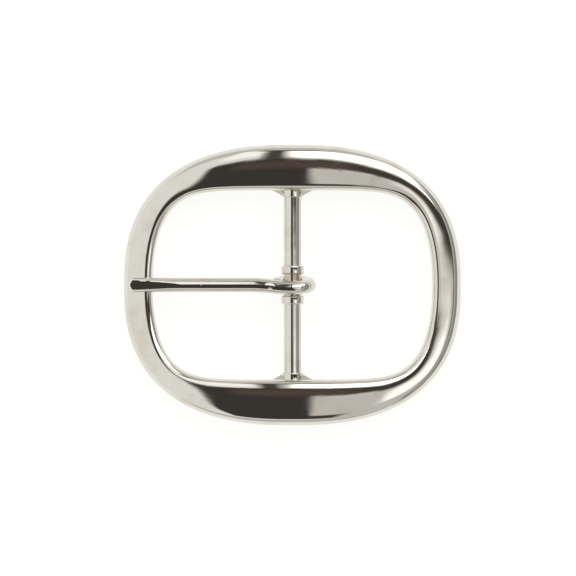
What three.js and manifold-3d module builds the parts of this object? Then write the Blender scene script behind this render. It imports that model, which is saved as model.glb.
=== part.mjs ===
// Oval centre-bar belt buckle: a bowed cast frame, a plain bar held in two blind lugs, a pair of
// collars on the bar, and a wire prong whose eye turns on the bar between them.
// Millimetres. The buckle lies on its back: +X runs along the strap, +Y across it, +Z is the front.
// The origin is under the middle of the buckle, on the plane that its two rails rest on.
import * as THREE from "three";
import { LoftGeometry } from "three/addons/geometries/LoftGeometry.js";
import { mergeVertices } from "three/addons/utils/BufferGeometryUtils.js";
import Module from "manifold-3d";

// Plan of the frame.
const strapOpening = 40.0; // clear height of the window, for a 38 mm strap
const windowLength = 59.6; // clear length of the window along the strap
const cheekWidth = 9.7; // long sides, above and below the window
const railWidth = 6.2; // short sides, at the ends of the window
const outerRoundness = 2.5; // exponent of the outer outline, where 2 is an ellipse
const windowSideRoundness = 6.5; // exponent of the window along X: long, nearly straight sides
const windowEndRoundness = 2.2; // exponent of the window along Y: round ends

// Section of the frame.
const crownAboveBar = 3.9; // from the bar's axis up to the crown in the middle of a cheek
const cheekThickness = 4.4; // front to back in the middle of a cheek
const railEdge = 3.8; // front to back at the outer edge of a rail: the bow falls to this height
const scoopRoundness = 1.3; // exponent of the hollow along the back
const crownDrop = 0.35; // how far the face falls from its middle to its edges
const cheekOuterRounding = 2.1; // front outer edge of a cheek
const railOuterRounding = 1.6; // front outer edge of a rail
const innerRounding = 1.4; // front inner edge
const backRounding = 0.9; // both back edges

// Lugs that hold the ends of the bar.
const lugWall = 0.4; // metal round the bar
const lugReach = 1.4; // how far a lug stands out of the cheek into the window
const lugCover = 4.4; // how far a lug runs along the back of the cheek
const gussetSpread = 8.0; // half width of the gusset at its root inside the cheek
const gussetReach = 1.3; // how far the gusset runs out from the cheek beside the lug
const gussetThickness = 0.8; // at its edge
const gussetRise = 1.7; // how much thicker it is where it meets the cheek's side
const gussetRoot = 1.2; // how far the gusset goes into the cheek
const gussetProud = 0.3; // how far the gusset stands out of the cheek's back

// Bar.
const barDiameter = 3.75;
const socketDepth = 4.0; // how far the bar goes into each lug
const socketClearance = 0.05; // radial: on a real buckle the bar is pressed in
const socketEndGap = 0.3;
const barChamfer = 0.3;

// Collars.
const collarStandOut = 0.55; // from the bar's surface to the collar's
const collarWidth = 1.9;
const collarRounding = 0.4; // of both outer edges
const collarClearance = 0.05; // radial, round the bar
const collarPlay = 0.15; // between the eye and each collar

// Prong.
const wireDiameter = 3.08; // shank
const eyeDraw = 0.12; // the wire is thinner by this where it is bent round the bar
const eyeClearance = 0.2; // radial, between the bar and the eye
const eyeFloorGap = 0.25; // from the eye down to the plane that the rails rest on
const eyeOffset = 0.6; // the eye is a tilted ring, which reaches this far to each side along the bar
const eyeWrap = 283; // degrees of wire round the bar, from the top of the bar to the tail
const tipInset = 1.4; // from the end of the prong to the outer edge of the rail it rests on
const restGap = 0.05; // between the prong and the rail at rest
const tipRounding = 0.9; // length over which the squared end of the prong is rounded
const facetDepth = 0.42; // how deep the flat on the front of the tip is cut at its end
const facetLength = 11.0; // from there to where the flat runs out
const crankDrop = 0.15; // the shank lies this much lower than the top of the eye
const crankStart = 3.2; // from the bar to where the wire bends down from the eye
const crankLength = 2.4; // and the stretch over which it does
const shankShift = 8.0; // stretch before the bar over which the shank moves across to the eye

// Fineness of the faceted solids.
const frameStations = 120;
const roundingSteps = 4;
const roundSides = 32;
const wireSides = 14;
const shankStep = 1.3; // mm between sections of the shank
const eyeStep = 10; // degrees between sections of the eye
const tipSteps = 4;
const halvings = 40; // of the search for the window's edge
const mergeDistance = 1e-4;

// Derived sizes.
const windowHalfX = windowLength / 2;
const windowHalfY = strapOpening / 2;
const outerHalfX = windowHalfX + railWidth;
const outerHalfY = windowHalfY + cheekWidth;
const barRadius = barDiameter / 2;
const socketRadius = barRadius + socketClearance;
const lugRadius = socketRadius + lugWall;
const lugNose = windowHalfY - lugReach;
const wireRadius = wireDiameter / 2;
const eyeWireRadius = (wireDiameter - eyeDraw) / 2;
const eyeRadius = barRadius + eyeClearance + eyeWireRadius; // to the middle of the wire
const barHeight = eyeFloorGap + eyeRadius + eyeWireRadius; // of the bar's axis
const frontHeight = barHeight + crownAboveBar;
const backHeight = frontHeight - cheekThickness; // of the cheek's back in the middle
const collarInnerSide = eyeWireRadius + eyeOffset + collarPlay; // from the middle of the bar
const quarterTurn = Math.PI / 2;
const barDirection = new THREE.Vector3(0, 1, 0);

const nickel = { metalness: 1.0, roughness: 0.12 };
const frameColour = 0xd3d2c6;
const barColour = 0xc4c2b8;
const collarColour = 0xcbc9be;
const prongColour = 0xd8d6cc;

const wasm = await Module();
wasm.setup();

// A closed geometry as a solid that can be joined and cut.
function solidOf(geometry) {
  const bare = new THREE.BufferGeometry();
  bare.setAttribute("position", geometry.getAttribute("position"));
  bare.setIndex(geometry.index);
  const merged = mergeVertices(bare, mergeDistance);
  return new wasm.Manifold(
    new wasm.Mesh({
      numProp: 3,
      vertProperties: merged.attributes.position.array,
      triVerts: new Uint32Array(merged.index.array),
    }),
  );
}

// A solid as a geometry that can be drawn.
function geometryOf(solid) {
  const mesh = solid.getMesh();
  const indexed = new THREE.BufferGeometry();
  indexed.setAttribute("position", new THREE.BufferAttribute(mesh.vertProperties, 3));
  indexed.setIndex(new THREE.BufferAttribute(mesh.triVerts, 1));
  const geometry = indexed.toNonIndexed();
  geometry.computeVertexNormals();
  return geometry;
}

function makePart(name, geometry, colour) {
  const material = new THREE.MeshStandardMaterial({ color: colour, ...nickel });
  const mesh = new THREE.Mesh(geometry, material);
  mesh.name = name;
  return mesh;
}

// Runs from 0 to 1 with level ends.
function smoothStep(value) {
  const t = Math.min(1, Math.max(0, value));
  return t * t * (3 - 2 * t);
}

// Distance from the middle of the buckle to its outer outline in one direction.
function outerReach(angle) {
  const alongX = Math.abs(Math.cos(angle)) / outerHalfX;
  const alongY = Math.abs(Math.sin(angle)) / outerHalfY;
  return (alongX ** outerRoundness + alongY ** outerRoundness) ** (-1 / outerRoundness);
}

// Distance from the middle to the edge of the window in one direction, found by halving.
function windowReach(angle) {
  const alongX = Math.abs(Math.cos(angle)) / windowHalfX;
  const alongY = Math.abs(Math.sin(angle)) / windowHalfY;
  let inside = 0;
  let outside = outerReach(angle);
  for (let step = 0; step < halvings; step += 1) {
    const reach = (inside + outside) / 2;
    const level = (reach * alongX) ** windowSideRoundness + (reach * alongY) ** windowEndRoundness;
    if (level < 1) {
      inside = reach;
    } else {
      outside = reach;
    }
  }
  return inside;
}

// Height of the bowed front at a place along the strap, and of the crown at a place across the
// section, where acrossShare runs from -1 at the window to 1 at the outer edge.
function frontAt(x, acrossShare) {
  const bow = (frontHeight - railEdge) * (x / outerHalfX) ** 2;
  return frontHeight - bow - crownDrop * acrossShare ** 2;
}

// Height of the back, which is scooped between the rails and flat under them.
function backAt(x) {
  const share = Math.max(0, 1 - (x / windowHalfX) ** 2);
  return backHeight * share ** scoopRoundness;
}

// Quarter round as pairs of distances from the two faces that it joins.
function quarterRound(radius, rising) {
  return Array.from({ length: roundingSteps + 1 }, (_, step) => {
    const turn = (quarterTurn * (rising ? step : roundingSteps - step)) / roundingSteps;
    return [radius * (1 - Math.sin(turn)), radius * (1 - Math.cos(turn))];
  });
}

// Section of the frame in the plane through Z and one direction from the middle, anticlockwise
// from the back outer edge.
function frameSection(angle) {
  const inner = windowReach(angle);
  const width = outerReach(angle) - inner;
  const outerRounding = THREE.MathUtils.lerp(
    railOuterRounding,
    cheekOuterRounding,
    Math.sin(angle) ** 2,
  );
  const place = (across, height) => {
    const reach = inner + across;
    const x = reach * Math.cos(angle);
    const z = height(x, (2 * across) / width - 1);
    return new THREE.Vector3(x, reach * Math.sin(angle), z);
  };
  const up = (rise) => (x) => backAt(x) + rise;
  const down = (drop) => (x, share) => frontAt(x, share) - drop;
  return [
    ...quarterRound(backRounding, true).map(([side, rise]) => place(width - side, up(rise))),
    ...quarterRound(outerRounding, true).map(([drop, side]) => place(width - side, down(drop))),
    place(width / 2, down(0)),
    ...quarterRound(innerRounding, false).map(([drop, side]) => place(side, down(drop))),
    ...quarterRound(backRounding, false).map(([side, rise]) => place(side, up(rise))),
    place(width / 2, up(0)),
  ];
}

// A solid of revolution about the bar's axis, from pairs of radius and place along the bar.
function turned(profile) {
  const points = profile.map(([radius, along]) => new THREE.Vector2(radius, along));
  return new THREE.LatheGeometry(points, roundSides).translate(0, 0, barHeight);
}

// Round lug at the +Y end of the bar, tapered at its root, where it dies into the cheek.
function makeLug() {
  const root = windowHalfY + lugCover;
  return turned([
    [0, lugNose],
    [lugRadius, lugNose],
    [lugRadius, root - lugRadius],
    [lugRadius / 2, root],
    [0, root],
  ]);
}

// Gusset that flares from the sides of the lug to the cheek in two hollow curves. Its front slopes
// up from a thin edge to the cheek.
function makeGusset() {
  const tip = windowHalfY - gussetReach;
  const root = windowHalfY + gussetRoot;
  const waist = lugRadius + gussetReach;
  const shape = new THREE.Shape();
  shape.moveTo(-barRadius, tip);
  shape.lineTo(barRadius, tip);
  shape.quadraticCurveTo(waist, windowHalfY, gussetSpread, root);
  shape.lineTo(-gussetSpread, root);
  shape.quadraticCurveTo(-waist, windowHalfY, -barRadius, tip);
  const gusset = new THREE.ExtrudeGeometry(shape, {
    depth: gussetThickness,
    curveSegments: roundingSteps,
    bevelEnabled: false,
  });
  const points = gusset.getAttribute("position");
  for (let index = 0; index < points.count; index += 1) {
    const share = points.getZ(index) / gussetThickness;
    const climb = (gussetRise * (points.getY(index) - tip)) / gussetReach;
    points.setZ(index, points.getZ(index) + share * climb);
  }
  return gusset.translate(0, 0, backHeight - gussetProud);
}

// Blind hole for the end of the bar, cut from outside the lug's nose.
function makeSocket() {
  const mouth = lugNose - lugReach;
  const bottom = lugNose + socketDepth + socketEndGap;
  return turned([
    [0, mouth],
    [socketRadius, mouth],
    [socketRadius, bottom],
    [0, bottom],
  ]);
}

function makeFrame() {
  const sections = Array.from({ length: frameStations + 1 }, (_, station) =>
    frameSection((-2 * Math.PI * (station % frameStations)) / frameStations),
  );
  let frame = solidOf(new LoftGeometry(sections));
  for (const turn of [0, Math.PI]) {
    frame = frame.add(solidOf(makeLug().rotateZ(turn)));
    frame = frame.add(solidOf(makeGusset().rotateZ(turn)));
  }
  for (const turn of [0, Math.PI]) {
    frame = frame.subtract(solidOf(makeSocket().rotateZ(turn)));
  }
  return geometryOf(frame);
}

function makeBar() {
  const end = lugNose + socketDepth;
  return turned([
    [0, -end],
    [barRadius - barChamfer, -end],
    [barRadius, barChamfer - end],
    [barRadius, end - barChamfer],
    [barRadius - barChamfer, end],
    [0, end],
  ]);
}

// Collar whose side towards the eye is at collarInnerSide.
function makeCollar() {
  const bore = barRadius + collarClearance;
  const radius = barRadius + collarStandOut;
  const near = collarInnerSide;
  const far = collarInnerSide + collarWidth;
  return turned([
    [bore, near],
    ...quarterRound(collarRounding, true).map(([drop, side]) => [radius - drop, near + side]),
    ...quarterRound(collarRounding, false).map(([drop, side]) => [radius - drop, far - side]),
    [bore, far],
    [bore, near],
  ]);
}

// Downward slope of the shank, so that it runs a little below the top of the eye at one end and
// rests on the inner rounding of the rail at the other: a common tangent of two circles.
function restSlope() {
  const share = (2 * innerRounding) / railWidth - 1;
  const run = windowHalfX + innerRounding;
  const fall = barHeight - (frontAt(run, share) - innerRounding);
  const railCircle = innerRounding + restGap + wireRadius;
  const barCircle = eyeRadius - crankDrop;
  return Math.atan2(fall, run) + Math.asin((barCircle - railCircle) / Math.hypot(run, fall));
}

// Section of the prong: a circle across the wire, cut flat at a height on the side of normal.
function wireSection(centre, normal, radius, height) {
  return Array.from({ length: wireSides }, (_, side) => {
    const turn = (2 * Math.PI * (side + 0.5)) / wireSides;
    const across = radius * Math.cos(turn);
    const out = Math.min(radius * Math.sin(turn), height);
    return new THREE.Vector3(centre.x, centre.y + across, centre.z).addScaledVector(normal, out);
  });
}

function makeProng() {
  const slope = restSlope();
  const towardsTip = new THREE.Vector3(-Math.cos(slope), 0, -Math.sin(slope));
  const front = new THREE.Vector3(-Math.sin(slope), 0, Math.cos(slope));
  const axis = new THREE.Vector3(0, 0, barHeight);
  const top = axis.clone().addScaledVector(front, eyeRadius);
  const length = (outerHalfX - tipInset + top.x) / Math.cos(slope);
  const roundStart = length - tipRounding;

  const shankSection = (along, radius) => {
    const centre = top.clone().addScaledVector(towardsTip, along);
    const nearBar = smoothStep(1 - along / shankShift);
    const cut = facetDepth * Math.max(0, 1 - (length - along) / facetLength);
    centre.addScaledVector(front, -crankDrop * smoothStep((along - crankStart) / crankLength));
    centre.y = -eyeOffset * nearBar;
    return wireSection(centre, front, radius - (eyeDraw / 2) * nearBar, wireRadius - cut);
  };
  const sections = [];
  for (let step = 0; step < tipSteps; step += 1) {
    const turn = (quarterTurn * (step + 0.5)) / tipSteps;
    const along = roundStart + tipRounding * Math.cos(turn);
    sections.push(shankSection(along, wireRadius * Math.sin(turn)));
  }
  const shankSteps = Math.round(roundStart / shankStep);
  for (let step = 0; step < shankSteps; step += 1) {
    sections.push(shankSection(roundStart * (1 - step / shankSteps), wireRadius));
  }
  const eyeSteps = Math.round(eyeWrap / eyeStep);
  for (let step = 0; step <= eyeSteps; step += 1) {
    const wrapped = THREE.MathUtils.degToRad((eyeWrap * step) / eyeSteps);
    const out = front.clone().applyAxisAngle(barDirection, wrapped);
    const centre = axis.clone().addScaledVector(out, eyeRadius);
    centre.y = -eyeOffset * Math.cos(wrapped);
    sections.push(wireSection(centre, out, eyeWireRadius, eyeWireRadius));
  }
  return new LoftGeometry(sections, { capStart: true, capEnd: true });
}

const group = new THREE.Group();
group.add(makePart("frame", makeFrame(), frameColour));
group.add(makePart("centre_bar", makeBar(), barColour));
group.add(makePart("upper_collar", makeCollar(), collarColour));
const lowerCollar = makePart("lower_collar", makeCollar(), collarColour);
lowerCollar.rotation.z = Math.PI;
group.add(lowerCollar);
group.add(makePart("prong", makeProng(), prongColour));

export default group;
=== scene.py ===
"""Oval centre-bar belt buckle in polished nickel, lying on its back on a white table."""

import math

import bmesh
import bpy
from mathutils import Matrix, Vector


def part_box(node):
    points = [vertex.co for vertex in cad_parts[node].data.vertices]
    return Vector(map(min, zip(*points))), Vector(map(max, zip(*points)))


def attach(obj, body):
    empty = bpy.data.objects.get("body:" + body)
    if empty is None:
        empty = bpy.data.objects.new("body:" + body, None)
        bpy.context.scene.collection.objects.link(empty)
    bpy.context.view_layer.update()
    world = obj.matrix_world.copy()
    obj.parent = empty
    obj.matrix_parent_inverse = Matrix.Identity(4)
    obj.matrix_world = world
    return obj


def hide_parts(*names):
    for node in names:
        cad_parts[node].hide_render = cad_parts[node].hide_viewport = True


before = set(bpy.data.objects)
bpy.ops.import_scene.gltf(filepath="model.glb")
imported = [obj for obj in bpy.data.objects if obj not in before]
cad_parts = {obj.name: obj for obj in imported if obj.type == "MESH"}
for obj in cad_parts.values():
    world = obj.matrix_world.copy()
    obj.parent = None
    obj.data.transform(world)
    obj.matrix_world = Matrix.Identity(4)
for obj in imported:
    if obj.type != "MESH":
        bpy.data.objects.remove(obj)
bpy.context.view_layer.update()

bl_info = {
    "name": "Centre-bar belt buckle",
    "version": (1, 0, 0),
    "blender": (4, 5, 0),
    "location": "View3D > Sidebar > Buckle",
    "description": "Builds an oval centre-bar buckle in polished nickel, and a table to show it on",
    "category": "Object",
}

MM = 0.001
FRAME_BODY = "buckle"
PRONG_BODY = "prong"
FULL_TURN = 2 * math.pi
QUARTER = math.pi / 2
WELD = 0.0005 * MM

# Where the CAD pieces lie.
frame_low, frame_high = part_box("frame")
bar_low, bar_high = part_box("centre_bar")
prong_low, prong_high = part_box("prong")
bar_axis = Vector((0, 0, (bar_low.z + bar_high.z) / 2))
bar_radius = (bar_high.z - bar_low.z) / 2


# ---------------------------------------------------------------- sizes and colours


def linear(hex_colour):
    """Linear red, green, blue and alpha of an sRGB hex colour."""
    channels = [int(hex_colour[i:i + 2], 16) / 255 for i in (1, 3, 5)]
    return tuple(c / 12.92 if c <= 0.04045 else ((c + 0.055) / 1.055) ** 2.4 for c in channels) + (1.0,)


def length(name, description, default):
    """A size in metres, given in millimetres."""
    return bpy.props.FloatProperty(
        name=name, description=description, default=default * MM, min=0.0, precision=5, unit="LENGTH")


def colour(name, description, default):
    return bpy.props.FloatVectorProperty(
        name=name, description=description, default=linear(default), subtype="COLOR", size=4,
        min=0.0, max=1.0)


class BuckleFrameSizes(bpy.types.PropertyGroup):
    """Sizes of the cast frame"""

    window_length: length("Window length", "Clear length of the window along the strap", 59.6)
    window_height: length("Window height", "Clear height of the window across the strap", 40.0)
    thickness: length("Cheek thickness", "Front to back in the middle of a cheek", 4.4)
    rail_edge: length("Rail edge", "Height that the bowed front falls to at a rail's outer edge", 3.8)
    crown: length("Crown", "How far the face falls from its middle to its edges", 0.35)
    lug_wall: length("Lug wall", "Metal round the end of the bar", 0.4)
    lug_reach: length("Lug reach", "How far a lug stands out of the cheek into the window", 1.4)


class BuckleWireSizes(bpy.types.PropertyGroup):
    """Sizes of the prong's wire, its eye and its flat tip"""

    wire: length("Wire", "Diameter of the shank", 3.08)
    eye_offset: length("Eye offset", "How far the tilted eye reaches to each side along the bar", 0.6)
    crank: length("Crank", "How much lower the shank lies than the top of the eye", 0.15)
    facet_length: length("Facet length", "Length of the flat filed on the front of the tip", 11.0)
    facet_depth: length("Facet depth", "How deep the flat is cut at the end of the tip", 0.42)


class BuckleColours(bpy.types.PropertyGroup):
    """Colours of the metal and of the table"""

    nickel: colour("Nickel", "Bright nickel plate", "#dad8cf")
    # This warm colour is also painted as shade on the bar and the collars next to the prong's eye.
    stain_and_shade: colour("Stain", "Warmer nickel where hands and polish have left a film", "#c2b49f")
    table: colour("Table", "White acrylic of the light table", "#f4f4f2")


# ---------------------------------------------------------------- small tools


def add_node(tree, kind, links=None, **settings):
    """A node with its settings: inputs by name or number, properties by name, and links into it."""
    node = tree.nodes.new(kind)
    for key, value in settings.items():
        if key == "inputs":
            for name, number in value.items():
                node.inputs[name].default_value = number
        else:
            setattr(node, key, value)
    for name, source in (links or {}).items():
        tree.links.new(source, node.inputs[name])
    return node


def smooth_step(value):
    """Runs from 0 to 1 with level ends."""
    t = min(1.0, max(0.0, value))
    return t * t * (3 - 2 * t)


def round_corner(radius, share):
    """Place on a quarter round as distances from its two faces: share runs from 0 to 1."""
    turn = QUARTER * share
    return radius * (1 - math.sin(turn)), radius * (1 - math.cos(turn))


def bend_sheet(bm, along, around, place):
    """A flat grid bent to place(u, v), both from 0 to 1, with the edges that meet welded."""
    made = bmesh.ops.create_grid(bm, x_segments=along, y_segments=around, size=0.5)
    for vert in made["verts"]:
        step, turn = round((vert.co.x + 0.5) * along), round((vert.co.y + 0.5) * around)
        vert.co = place(step / along, turn / around)
    bmesh.ops.remove_doubles(bm, verts=made["verts"], dist=WELD)


def turn_profile(bm, profile, steps=96):
    """Spins pairs of radius and place along the bar about the bar's axis."""
    verts = [bm.verts.new(bar_axis + Vector((radius, along, 0))) for radius, along in profile]
    edges = [bm.edges.new(pair) for pair in zip(verts, verts[1:])]
    bmesh.ops.spin(
        bm, geom=verts + edges, cent=bar_axis, axis=(0, 1, 0), angle=FULL_TURN, steps=steps,
        use_merge=True)
    bmesh.ops.remove_doubles(bm, verts=bm.verts, dist=WELD)


def rounded(radius, steps, place, rising):
    """Points of a round corner, with place turning its two distances into a point."""
    shares = [step / steps for step in range(steps + 1)]
    return [place(*round_corner(radius, share if rising else 1 - share)) for share in shares]


def both_ends(bm):
    """Adds a copy of the mesh turned half a turn about Z, for the other end of the bar."""
    copy = bmesh.ops.duplicate(bm, geom=bm.verts[:] + bm.edges[:] + bm.faces[:])
    verts = [item for item in copy["geom"] if isinstance(item, bmesh.types.BMVert)]
    bmesh.ops.rotate(bm, verts=verts, cent=(0, 0, 0), matrix=Matrix.Rotation(math.pi, 3, "Z"))


def make_object(bm, name):
    """An object of a bmesh with its faces pointing out."""
    bmesh.ops.recalc_face_normals(bm, faces=bm.faces)
    mesh = bpy.data.meshes.new(name)
    bm.to_mesh(mesh)
    bm.free()
    piece = bpy.data.objects.new(name, mesh)
    bpy.context.scene.collection.objects.link(piece)
    return piece


def cut_or_join(piece, bm, operation):
    """Joins a bmesh to a piece or cuts it out, and keeps the result as the piece's mesh."""
    tool = make_object(bm, "tool")
    boolean = piece.modifiers.new("boolean", "BOOLEAN")
    boolean.operation = operation
    boolean.object = tool
    boolean.solver = "EXACT"
    evaluated = piece.evaluated_get(bpy.context.evaluated_depsgraph_get())
    made = bpy.data.meshes.new_from_object(evaluated)
    piece.modifiers.clear()
    piece.data = made
    bpy.data.objects.remove(tool)


def finish_piece(piece, material, body, slot, *nodes):
    """Shades a piece, puts it in place of its CAD nodes and lets it ride on their body."""
    mesh = piece.data
    mesh.shade_smooth()
    mesh.set_sharp_from_angle(angle=math.radians(30))
    mesh.materials.clear()
    mesh.materials.append(material)
    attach(piece, body)
    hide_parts(*nodes)


# ---------------------------------------------------------------- finish


def bright_nickel(name, roughness, grain, grain_height, wave, wave_height):
    """Bright nickel plate over polished metal: a mirror that isn't quite even.

    The base swells gently over wave, the buffing left fine lines where grain says, a few pits and
    specks show, and a thin warm film dulls the mirror in patches. grain takes the node tree and the
    place on the piece in millimetres, and gives the place in which the lines vary.
    """
    pit_cell, film_patch = 1.6, 7.0  # mm
    chosen = bpy.context.scene.buckle_colours
    material = bpy.data.materials.new(name)
    material.use_nodes = True
    tree = material.node_tree
    shader = tree.nodes["Principled BSDF"]
    shader.inputs["Metallic"].default_value = 1.0
    where = add_node(tree, "ShaderNodeTexCoord").outputs["Object"]
    place = add_node(
        tree, "ShaderNodeVectorMath", {0: where}, operation="SCALE", inputs={3: 1 / MM}).outputs[0]

    swell = add_node(
        tree, "ShaderNodeTexNoise", {"Vector": place},
        inputs={"Scale": 1 / wave, "Detail": 1.0, "Roughness": 0.4})
    swell_bump = add_node(
        tree, "ShaderNodeBump", {"Height": swell.outputs["Fac"]},
        inputs={"Strength": 1.0, "Distance": wave_height * MM})

    lines = add_node(
        tree, "ShaderNodeTexNoise", {"Vector": grain(tree, place)},
        inputs={"Scale": 1.0, "Detail": 4.0, "Roughness": 0.65})
    lines_bump = add_node(
        tree, "ShaderNodeBump",
        {"Height": lines.outputs["Fac"], "Normal": swell_bump.outputs["Normal"]},
        inputs={"Strength": 1.0, "Distance": grain_height * MM})

    # One cell in ten holds a pit a fifth of a millimetre across.
    cells = add_node(
        tree, "ShaderNodeTexVoronoi", {"Vector": place},
        inputs={"Scale": 1 / pit_cell, "Randomness": 1.0})
    chance = add_node(tree, "ShaderNodeSeparateColor", {"Color": cells.outputs["Color"]})
    chosen_cell = add_node(
        tree, "ShaderNodeMath", {0: chance.outputs["Red"]}, operation="GREATER_THAN", inputs={1: 0.9})
    pit = add_node(
        tree, "ShaderNodeMapRange", {"Value": cells.outputs["Distance"]},
        interpolation_type="SMOOTHSTEP",
        inputs={"From Min": 0.03, "From Max": 0.08, "To Min": 1.0, "To Max": 0.0})
    pits = add_node(
        tree, "ShaderNodeMath", {0: pit.outputs["Result"], 1: chosen_cell.outputs[0]},
        operation="MULTIPLY").outputs[0]
    pits_bump = add_node(
        tree, "ShaderNodeBump", {"Height": pits, "Normal": lines_bump.outputs["Normal"]},
        invert=True, inputs={"Strength": 1.0, "Distance": 0.02 * MM})
    tree.links.new(pits_bump.outputs["Normal"], shader.inputs["Normal"])

    film = add_node(
        tree, "ShaderNodeTexNoise", {"Vector": place},
        inputs={"Scale": 1 / film_patch, "Detail": 5.0, "Roughness": 0.6})
    patches = add_node(
        tree, "ShaderNodeMapRange", {"Value": film.outputs["Fac"]},
        interpolation_type="SMOOTHSTEP",
        inputs={"From Min": 0.46, "From Max": 0.7, "To Min": 0.0, "To Max": 0.35}).outputs["Result"]
    # This tint also carries the painted shade added next to the prong's eye on the bar and collars.
    tint = add_node(tree, "ShaderNodeMix", {0: patches}, data_type="RGBA", label="film")
    tint.inputs[6].default_value = chosen.nickel
    tint.inputs[7].default_value = chosen.stain_and_shade
    tree.links.new(tint.outputs[2], shader.inputs["Base Color"])

    dull = add_node(
        tree, "ShaderNodeMath", {0: patches, 1: lines.outputs["Fac"], 2: pits},
        operation="MULTIPLY_ADD")
    rough = add_node(
        tree, "ShaderNodeMapRange", {"Value": dull.outputs[0]}, label="roughness",
        inputs={"From Min": 0.0, "From Max": 1.0, "To Min": roughness, "To Max": 0.3})
    tree.links.new(rough.outputs["Result"], shader.inputs["Roughness"])
    return material


def paint_shade_where(material, mask):
    """Adds painted shade in the warm stain colour where mask, from 0 to 1, says, wherever it is stronger
    than the film.
    """
    tree = material.node_tree
    tint = next(node for node in tree.nodes if node.label == "film")
    most = add_node(
        tree, "ShaderNodeMath", {0: tint.inputs[0].links[0].from_socket, 1: mask}, operation="MAXIMUM")
    tree.links.new(most.outputs[0], tint.inputs[0])


# ---------------------------------------------------------------- frame


class FrameShape:
    """The bowed oval casting: outlines in plan, heights, and the section round it."""

    outer_roundness = 2.5
    side_roundness = 6.5
    end_roundness = 2.2
    scoop_roundness = 1.3
    cheek_rounding = 2.1 * MM
    rail_rounding = 1.6 * MM
    inner_rounding = 1.4 * MM
    back_rounding = 0.9 * MM
    lug_length = 5.8 * MM
    nose_rounding = 0.2 * MM
    gusset_reach = 1.3 * MM  # out from the cheek, and out from the lug's side where it bends
    gusset_spread = 8.0 * MM  # half its width at its root
    gusset_root = 1.2 * MM  # into the cheek
    gusset_proud = 0.3 * MM  # out of the cheek's back
    gusset_thickness = 0.8 * MM  # at its edge
    gusset_rise = 1.7 * MM  # thicker than that where it meets the cheek
    gusset_steps = 16
    stretches = 8  # of the section: four roundings and the four faces between them

    def __init__(self):
        chosen = bpy.context.scene.buckle_frame
        self.outer_x = frame_high.x
        self.outer_y = frame_high.y
        self.window_x = chosen.window_length / 2
        self.window_y = chosen.window_height / 2
        self.front = frame_high.z
        self.back = self.front - chosen.thickness
        self.rail_edge = chosen.rail_edge
        self.crown = chosen.crown

    def outer_reach(self, angle):
        along_x = abs(math.cos(angle)) / self.outer_x
        along_y = abs(math.sin(angle)) / self.outer_y
        n = self.outer_roundness
        return (along_x ** n + along_y ** n) ** (-1 / n)

    def window_reach(self, angle):
        """Distance from the middle to the window's edge, found by halving."""
        along_x = abs(math.cos(angle)) / self.window_x
        along_y = abs(math.sin(angle)) / self.window_y
        inside, outside = 0.0, self.outer_reach(angle)
        for _ in range(40):
            reach = (inside + outside) / 2
            level = (reach * along_x) ** self.side_roundness + (reach * along_y) ** self.end_roundness
            if level < 1:
                inside = reach
            else:
                outside = reach
        return inside

    def front_at(self, x, share):
        """Height of the front, where share runs from -1 at the window to 1 at the outer edge."""
        bow = (self.front - self.rail_edge) * (x / self.outer_x) ** 2
        return self.front - bow - self.crown * share ** 2

    def back_at(self, x):
        share = max(0.0, 1 - (x / self.window_x) ** 2)
        return self.back * share ** self.scoop_roundness

    def point(self, angle, inner, width, v):
        """Point of the section at one share of its way round, from the back outer edge."""
        outer_round = self.rail_rounding
        outer_round += (self.cheek_rounding - self.rail_rounding) * math.sin(angle) ** 2
        inner_round = self.inner_rounding
        back_round = self.back_rounding
        stretch, share = divmod(v * self.stretches, 1)
        rise, drop, climb = None, None, None
        if stretch == 0:
            side, rise = round_corner(back_round, share)
            across = width - side
        elif stretch == 1:
            across, climb, top_round = width, share, outer_round
        elif stretch == 2:
            drop, side = round_corner(outer_round, share)
            across = width - side
        elif stretch == 3:
            across = (width - outer_round) * (1 - share) + inner_round * share
            drop = 0.0
        elif stretch == 4:
            drop, across = round_corner(inner_round, 1 - share)
        elif stretch == 5:
            across, climb, top_round = 0.0, 1 - share, inner_round
        elif stretch == 6:
            across, rise = round_corner(back_round, 1 - share)
        else:
            across = back_round * (1 - share) + (width - back_round) * share
            rise = 0.0
        reach = inner + across
        x = reach * math.cos(angle)
        low = self.back_at(x)
        high = self.front_at(x, 2 * across / width - 1)
        if rise is not None:
            z = low + rise
        elif drop is not None:
            z = high - drop
        else:
            z = (low + back_round) * (1 - climb) + (high - top_round) * climb
        return Vector((x, reach * math.sin(angle), z))


def lug_profile(shape, nose, radius):
    """Turned lug, tapered at its root, where it dies into the cheek."""
    root = nose + shape.lug_length
    return [
        (0, nose),
        *rounded(shape.nose_rounding, 4, lambda drop, side: (radius - drop, nose + side), True),
        (radius, root - radius),
        (radius / 2, root),
        (0, root),
    ]


def add_gusset(bm, shape, lug_radius):
    """Gusset that flares from the sides of the lug to the cheek in two hollow curves.

    Its front slopes up from a thin edge to the cheek.
    """
    climb = shape.gusset_rise / shape.gusset_reach
    low = shape.back - shape.gusset_proud
    tip = Vector((bar_radius, shape.window_y - shape.gusset_reach, low))
    bend = Vector((lug_radius + shape.gusset_reach, shape.window_y, low))
    root = Vector((shape.gusset_spread, shape.window_y + shape.gusset_root, low))
    curve = [
        tip * (1 - t) ** 2 + bend * 2 * t * (1 - t) + root * t ** 2
        for t in (step / shape.gusset_steps for step in range(shape.gusset_steps + 1))
    ]
    mirrored = [Vector((-point.x, point.y, point.z)) for point in reversed(curve)]
    face = bm.faces.new([bm.verts.new(point) for point in curve + mirrored])
    raised = bmesh.ops.extrude_face_region(bm, geom=[face])
    for item in raised["geom"]:
        if isinstance(item, bmesh.types.BMVert):
            item.co.z += shape.gusset_thickness + climb * (item.co.y - tip.y)


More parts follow.
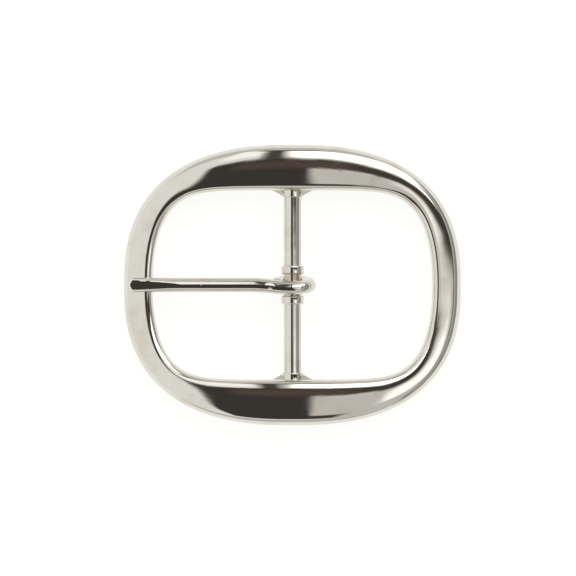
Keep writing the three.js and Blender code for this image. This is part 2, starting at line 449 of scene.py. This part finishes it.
def contour_grain(tree, place):
    """Buffing lines that follow the oval: they vary quickly across it and slowly along it.

    A line every 0.45 mm or so, which is coarser than real ones so that it shows, and 9 mm long.
    """
    oval_reach = 30.0  # mm from the middle of the oval to its metal, taken all round
    spacing, run = 0.45, 9.0
    share = add_node(
        tree, "ShaderNodeVectorMath", {0: place}, operation="MULTIPLY",
        inputs={1: (MM / frame_high.x, MM / frame_high.y, 0.0)}).outputs[0]
    reach = add_node(tree, "ShaderNodeVectorMath", {0: share}, operation="LENGTH").outputs["Value"]
    way = add_node(tree, "ShaderNodeVectorMath", {0: share}, operation="NORMALIZE").outputs[0]
    split = add_node(tree, "ShaderNodeSeparateXYZ", {0: way})
    across = add_node(
        tree, "ShaderNodeMath", {0: reach}, operation="MULTIPLY", inputs={1: oval_reach / spacing})
    turned = [
        add_node(tree, "ShaderNodeMath", {0: split.outputs[axis]}, operation="MULTIPLY",
                 inputs={1: oval_reach / run}).outputs[0]
        for axis in ("X", "Y")
    ]
    return add_node(
        tree, "ShaderNodeCombineXYZ", {0: across.outputs[0], 1: turned[0], 2: turned[1]}).outputs[0]


class BUCKLE_OT_frame(bpy.types.Operator):
    """Cast frame: the bowed oval with the lugs that hold the bar"""

    bl_idname = "buckle.frame"
    bl_label = "Frame"

    stations = 360
    section_steps = 80
    socket_depth = 4.3 * MM
    socket_gap = 0.05 * MM

    def execute(self, context):
        shape = FrameShape()
        chosen = context.scene.buckle_frame
        outlines = []
        for station in range(self.stations):
            angle = FULL_TURN * station / self.stations
            inner = shape.window_reach(angle)
            outlines.append((angle, inner, shape.outer_reach(angle) - inner))

        def place(u, v):
            station = round(u * self.stations) % self.stations
            return shape.point(*outlines[station], min(v, 1.0) % 1.0)

        bm = bmesh.new()
        bend_sheet(bm, self.stations, self.section_steps, place)
        piece = make_object(bm, "cast_frame")

        nose = shape.window_y - chosen.lug_reach
        socket_radius = bar_radius + self.socket_gap
        lug_radius = socket_radius + chosen.lug_wall
        bm = bmesh.new()
        add_gusset(bm, shape, lug_radius)
        both_ends(bm)
        cut_or_join(piece, bm, "UNION")

        bm = bmesh.new()
        turn_profile(bm, lug_profile(shape, nose, lug_radius))
        both_ends(bm)
        cut_or_join(piece, bm, "UNION")

        mouth = nose - chosen.lug_reach
        bottom = nose + self.socket_depth
        bm = bmesh.new()
        turn_profile(bm, [(0, mouth), (socket_radius, mouth), (socket_radius, bottom), (0, bottom)])
        both_ends(bm)
        cut_or_join(piece, bm, "DIFFERENCE")

        finish_piece(piece, self.material(), FRAME_BODY, "cast_frame", "frame")
        return {"FINISHED"}

    def material(self):
        """Zinc casting, buffed on its front and sides and left satin at the back, then nickel plated."""
        material = bright_nickel(
            "bright_nickel_on_buffed_casting", roughness=0.035, grain=contour_grain,
            grain_height=0.002, wave=8.0, wave_height=0.05)
        tree = material.node_tree
        facing = add_node(tree, "ShaderNodeTexCoord").outputs["Normal"]
        up = add_node(tree, "ShaderNodeSeparateXYZ", {0: facing}).outputs["Z"]
        back = add_node(
            tree, "ShaderNodeMapRange", {"Value": up}, interpolation_type="SMOOTHSTEP",
            inputs={"From Min": -0.9, "From Max": -0.5, "To Min": 0.22, "To Max": 0.0})
        rough = next(node for node in tree.nodes if node.label == "roughness")
        dulled = add_node(
            tree, "ShaderNodeMath",
            {0: rough.outputs["Result"], 1: back.outputs["Result"]}, operation="ADD")
        shader = tree.nodes["Principled BSDF"]
        tree.links.new(dulled.outputs[0], shader.inputs["Roughness"])
        return material


# ---------------------------------------------------------------- bar and collars


def stretched_grain(across, along, axis):
    """Lines that run along one axis: the place is squeezed by a length for each direction."""
    def grain(tree, place):
        scale = [1 / across] * 3
        scale["XYZ".index(axis)] = 1 / along
        return add_node(
            tree, "ShaderNodeVectorMath", {0: place}, operation="MULTIPLY",
            inputs={1: scale}).outputs[0]
    return grain


def paint_shade_near_eye(material, start, end):
    """Painted shade: a warmer, darker tint towards the bar's middle, next to the prong's eye, where the
    eye and the collars shade the metal.
    """
    tree = material.node_tree
    where = add_node(tree, "ShaderNodeTexCoord").outputs["Object"]
    along = add_node(tree, "ShaderNodeSeparateXYZ", {0: where}).outputs["Y"]
    away = add_node(tree, "ShaderNodeMath", {0: along}, operation="ABSOLUTE").outputs[0]
    mask = add_node(
        tree, "ShaderNodeMapRange", {"Value": away}, interpolation_type="SMOOTHSTEP",
        inputs={"From Min": start * MM, "From Max": end * MM, "To Min": 0.8, "To Max": 0.0})
    paint_shade_where(material, mask.outputs["Result"])


class BUCKLE_OT_bar(bpy.types.Operator):
    """Round bar across the middle of the frame"""

    bl_idname = "buckle.bar"
    bl_label = "Bar"

    chamfer = 0.3 * MM

    def execute(self, context):
        end = bar_high.y
        bm = bmesh.new()
        turn_profile(bm, [
            (0, -end), (bar_radius - self.chamfer, -end), (bar_radius, self.chamfer - end),
            (bar_radius, end - self.chamfer), (bar_radius - self.chamfer, end), (0, end),
        ])
        # Drawn steel wire: its die lines run along it, and the plate follows them.
        material = bright_nickel(
            "bright_nickel_on_drawn_bar", roughness=0.045, grain=stretched_grain(0.35, 9.0, "Y"),
            grain_height=0.0025, wave=5.0, wave_height=0.02)
        # Painted shade on the bar's middle, next to the prong's eye.
        paint_shade_near_eye(material, 1.6, 4.6)
        piece = make_object(bm, "turned_bar")
        finish_piece(piece, material, FRAME_BODY, "bar_and_collars", "centre_bar")
        return {"FINISHED"}


class BUCKLE_OT_collars(bpy.types.Operator):
    """Pair of collars that keep the prong in the middle of the bar"""

    bl_idname = "buckle.collars"
    bl_label = "Collars"

    rounding = 0.4 * MM
    bore_gap = 0.03 * MM

    def execute(self, context):
        # Turned steel: the tool left fine rings round each collar.
        material = bright_nickel(
            "bright_nickel_on_turned_collar", roughness=0.05, grain=stretched_grain(6.0, 0.3, "Y"),
            grain_height=0.0012, wave=3.0, wave_height=0.01)
        # Painted shade on the collars' inner ends, next to the prong's eye.
        paint_shade_near_eye(material, 2.0, 2.9)
        for node, name in (("upper_collar", "upper_collar_ring"), ("lower_collar", "lower_collar_ring")):
            low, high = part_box(node)
            radius = (high.z - low.z) / 2
            bore = bar_radius + self.bore_gap
            bm = bmesh.new()
            turn_profile(bm, [
                (bore, low.y),
                *rounded(self.rounding, 8, lambda drop, side: (radius - drop, low.y + side), True),
                *rounded(self.rounding, 8, lambda drop, side: (radius - drop, high.y - side), False),
                (bore, high.y),
                (bore, low.y),
            ])
            piece = make_object(bm, name)
            finish_piece(piece, material, FRAME_BODY, "bar_and_collars", node)
        return {"FINISHED"}


# ---------------------------------------------------------------- prong


class ProngShape:
    """One wire: a shank from the tip to the bar, and an eye that wraps the bar as a tilted ring."""

    eye_gap = 0.2 * MM
    rest_gap = 0.05 * MM
    tip_rounding = 0.9 * MM
    tail_rounding = 0.5 * MM
    crank_start = 3.2 * MM
    crank_length = 2.4 * MM
    shift = 8.0 * MM
    wrap = math.radians(283)

    def __init__(self):
        chosen = bpy.context.scene.buckle_prong
        self.radius = chosen.wire / 2
        self.eye_wire = (prong_high.z - bar_axis.z - bar_radius - self.eye_gap) / 2
        self.eye_radius = bar_radius + self.eye_gap + self.eye_wire
        self.eye_offset = chosen.eye_offset
        self.crank = chosen.crank
        self.facet_length = chosen.facet_length
        self.facet_depth = chosen.facet_depth
        slope = self.rest_slope()
        self.to_tip = Vector((-math.cos(slope), 0, -math.sin(slope)))
        self.front = Vector((-math.sin(slope), 0, math.cos(slope)))
        self.top = bar_axis + self.front * self.eye_radius
        self.shank = (self.top.x - prong_low.x) / math.cos(slope)
        self.total = self.shank + self.wrap * self.eye_radius

    def rest_slope(self):
        """Common tangent of the eye's circle and the rounding of the rail that the prong rests on."""
        shape = FrameShape()
        share = 2 * shape.inner_rounding / (shape.outer_x - shape.window_x) - 1
        run = shape.window_x + shape.inner_rounding
        fall = bar_axis.z - (shape.front_at(run, share) - shape.inner_rounding)
        difference = self.eye_radius - self.crank - shape.inner_rounding - self.rest_gap - self.radius
        return math.atan2(fall, run) + math.asin(difference / math.hypot(run, fall))

    def point(self, u, v):
        """Point of the wire's surface at one share of its length and one of its way round."""
        run = u * self.total
        turn = FULL_TURN * v
        if run <= self.shank:
            along = self.shank - run
            near_bar = smooth_step(1 - along / self.shift)
            lowered = self.crank * smooth_step((along - self.crank_start) / self.crank_length)
            centre = self.top + self.to_tip * along - self.front * lowered
            centre.y = -self.eye_offset * near_bar
            wire = self.radius * (1 - near_bar) + self.eye_wire * near_bar
            out_way = self.front
            cut = self.facet_depth * max(0.0, 1 - run / self.facet_length)
            height = self.radius - cut
            end = run / self.tip_rounding
        else:
            wrapped = (run - self.shank) / self.eye_radius
            out_way = Matrix.Rotation(wrapped, 3, "Y") @ self.front
            centre = bar_axis + out_way * self.eye_radius
            centre.y = -self.eye_offset * math.cos(wrapped)
            wire = height = self.eye_wire
            end = (self.total - run) / self.tail_rounding
        wire *= math.sqrt(max(0.0, 1 - (1 - min(1.0, end)) ** 2))
        out = min(wire * math.sin(turn), height)
        return centre + Vector((0, wire * math.cos(turn), 0)) + out_way * out


class BUCKLE_OT_prong(bpy.types.Operator):
    """Wire prong with its eye round the bar"""

    bl_idname = "buckle.prong"
    bl_label = "Prong"

    steps_along = 440
    steps_around = 64

    def execute(self, context):
        bm = bmesh.new()
        bend_sheet(bm, self.steps_along, self.steps_around, ProngShape().point)
        piece = make_object(bm, "wire_prong")
        finish_piece(piece, self.material(), PRONG_BODY, "prong_wire", "prong")
        return {"FINISHED"}

    def material(self):
        """Drawn steel wire, filed flat at the tip and buffed along its length, then nickel plated."""
        return bright_nickel(
            "bright_nickel_on_drawn_wire", roughness=0.04, grain=stretched_grain(0.35, 8.0, "X"),
            grain_height=0.002, wave=6.0, wave_height=0.02)


# ---------------------------------------------------------------- stage


# The white tent round the buckle, by strength and colour, and the soft-edged panels in it. A panel's
# edges are in degrees from straight up: towards the right (low, high) and towards the back (low,
# high). Then come the width over which they fade, the strength and the colour. A later panel hides
# an earlier one. The panels are set for the view from straight above.
TENT = (1.0, "#fcfcfa")
TENT_PANELS = {
    "front wall": (-52, 56, -130, -62, 12, 0.66, "#f4f4f2"),
    "back wall": (-52, 56, 40, 130, 14, 0.76, "#f4f3f0"),
    "right wall": (50, 130, -100, 100, 6, 0.42, "#e4e7e8"),
    "right gap": (44, 51, -50, 60, 4, 0.26, "#e0dedb"),
    "right strip": (51, 61, -50, 60, 4, 0.60, "#f2f3f4"),
    "lower right board": (4, 46, -60, 2, 6, 0.78, "#f3eeea"),
    "right bounce": (22, 41, -12, -1, 5, 1.5, "#ffffff"),
    "soft box": (0, 44, 10, 48, 3, 2.4, "#ffffff"),
    "soft box corner": (34, 58, 30, 60, 8, 1.6, "#ffffff"),
    "left strip": (-18, -7, 13, 58, 6, 1.3, "#ffffff"),
    "gap top": (-10, 9, 48, 60, 6, 0.30, "#d8d0c4"),
    "gap shade": (18, 46, 1, 5, 2, 0.35, "#e4dcd4"),
    "gap across": (-19, 48, 2, 9, 2.5, 0.09, "#d8cbc0"),
    "gap along": (-7, -2, 6, 55, 3, 0.13, "#cfc8c0"),
    "opening foot": (-14, 14, -50, -17, 6, 0.09, "#e0dcd2"),
    "opening": (-20, 4.5, -52, 9, 3, 0.07, "#e0dcd2"),
    "warm rim": (-13, 13, 2.5, 7, 4, 0.17, "#d2b4ac"),
}


def scaled(strength, hex_colour):
    red, green, blue, _ = linear(hex_colour)
    return (red * strength, green * strength, blue * strength, 1.0)


def light_tent():
    """A white tent with soft boxes, grey walls and the dark opening that the camera looks through."""
    world = bpy.data.worlds.new("light_tent")
    world.use_nodes = True
    tree = world.node_tree
    way = add_node(tree, "ShaderNodeTexCoord").outputs["Generated"]
    split = add_node(tree, "ShaderNodeSeparateXYZ", {0: way})
    height = add_node(tree, "ShaderNodeMath", {0: split.outputs["Z"]}, operation="ARCCOSINE")
    away = add_node(tree, "ShaderNodeMath", {0: height.outputs[0]}, operation="DEGREES")
    flat = add_node(tree, "ShaderNodeCombineXYZ", {0: split.outputs["X"], 1: split.outputs["Y"]})
    unit = add_node(tree, "ShaderNodeVectorMath", {0: flat.outputs[0]}, operation="NORMALIZE")
    spread = add_node(
        tree, "ShaderNodeVectorMath", {0: unit.outputs[0], 3: away.outputs[0]}, operation="SCALE")
    place = add_node(tree, "ShaderNodeSeparateXYZ", {0: spread.outputs[0]})
    base = add_node(tree, "ShaderNodeRGB")
    light = base.outputs[0]
    light.default_value = scaled(*TENT)
    for left, right, low, high, blur, strength, hex_colour in TENT_PANELS.values():
        mask = None
        for axis, edge, fade in (
                ("X", left, blur), ("X", right, -blur), ("Y", low, blur), ("Y", high, -blur)):
            inside = add_node(
                tree, "ShaderNodeMapRange", {"Value": place.outputs[axis]},
                interpolation_type="SMOOTHSTEP",
                inputs={"From Min": edge - fade / 2, "From Max": edge + fade / 2}).outputs["Result"]
            if mask is None:
                mask = inside
            else:
                mask = add_node(
                    tree, "ShaderNodeMath", {0: inside, 1: mask}, operation="MULTIPLY").outputs[0]
        mix = add_node(tree, "ShaderNodeMix", {0: mask, 6: light}, data_type="RGBA")
        mix.inputs[7].default_value = scaled(strength, hex_colour)
        light = mix.outputs[2]
    tree.links.new(light, tree.nodes["Background"].inputs["Color"])
    return world


class BUCKLE_OT_stage(bpy.types.Operator):
    """White light table, soft light and the camera straight above"""

    bl_idname = "buckle.stage"
    bl_label = "Stage"

    table_half = 4.0
    view_width = 122.3 * MM
    aim = (-0.96 * MM, -0.64 * MM)
    aim_height = 5 * MM

    def execute(self, context):
        scene = context.scene
        scene.view_settings.view_transform = "Standard"
        bm = bmesh.new()
        bmesh.ops.create_grid(bm, x_segments=1, y_segments=1, size=self.table_half)
        floor = make_object(bm, "table")
        floor.data.materials.append(self.lit_acrylic())
        scene.world = light_tent()

        camera = bpy.data.objects.new("camera", bpy.data.cameras.new("camera"))
        scene.collection.objects.link(camera)
        camera.data.lens = 150
        camera.data.sensor_width = 36
        distance = self.view_width * camera.data.lens / camera.data.sensor_width
        camera.location = (*self.aim, distance + self.aim_height)
        camera.data.clip_start = 0.01
        scene.camera = camera
        return {"FINISHED"}

    def lit_acrylic(self):
        """Frosted white acrylic lit from below: matt, even, and nearly without shadows."""
        material = bpy.data.materials.new("frosted_white_acrylic")
        material.use_nodes = True
        shader = material.node_tree.nodes["Principled BSDF"]
        glow = bpy.context.scene.buckle_colours.table
        shader.inputs["Base Color"].default_value = linear("#8c8c8a")
        shader.inputs["Roughness"].default_value = 0.9
        shader.inputs["Specular IOR Level"].default_value = 0.1
        shader.inputs["Emission Color"].default_value = glow
        shader.inputs["Emission Strength"].default_value = 0.92
        return material


# ---------------------------------------------------------------- panel and running


class BUCKLE_PT_panel(bpy.types.Panel):
    """Sizes and colours of the buckle, and a button for each of its pieces"""

    bl_idname = "BUCKLE_PT_panel"
    bl_label = "Belt buckle"
    bl_space_type = "VIEW_3D"
    bl_region_type = "UI"
    bl_category = "Buckle"

    def draw(self, context):
        for holder, group in GROUPS.items():
            box = self.layout.box()
            for name in group.__annotations__:
                box.prop(getattr(context.scene, holder), name)
        for operator in OPERATORS:
            self.layout.operator(operator.bl_idname)


GROUPS = {
    "buckle_frame": BuckleFrameSizes,
    "buckle_prong": BuckleWireSizes,
    "buckle_colours": BuckleColours,
}
OPERATORS = (BUCKLE_OT_frame, BUCKLE_OT_bar, BUCKLE_OT_collars, BUCKLE_OT_prong, BUCKLE_OT_stage)
CLASSES = (*GROUPS.values(), *OPERATORS, BUCKLE_PT_panel)


def register():
    for each in CLASSES:
        bpy.utils.register_class(each)
    for holder, group in GROUPS.items():
        setattr(bpy.types.Scene, holder, bpy.props.PointerProperty(type=group))


def unregister():
    for holder in GROUPS:
        delattr(bpy.types.Scene, holder)
    for each in reversed(CLASSES):
        bpy.utils.unregister_class(each)


def main():
    register()
    bpy.ops.buckle.frame()
    bpy.ops.buckle.bar()
    bpy.ops.buckle.collars()
    bpy.ops.buckle.prong()
    bpy.ops.buckle.stage()


if __name__ == "__main__":
    main()
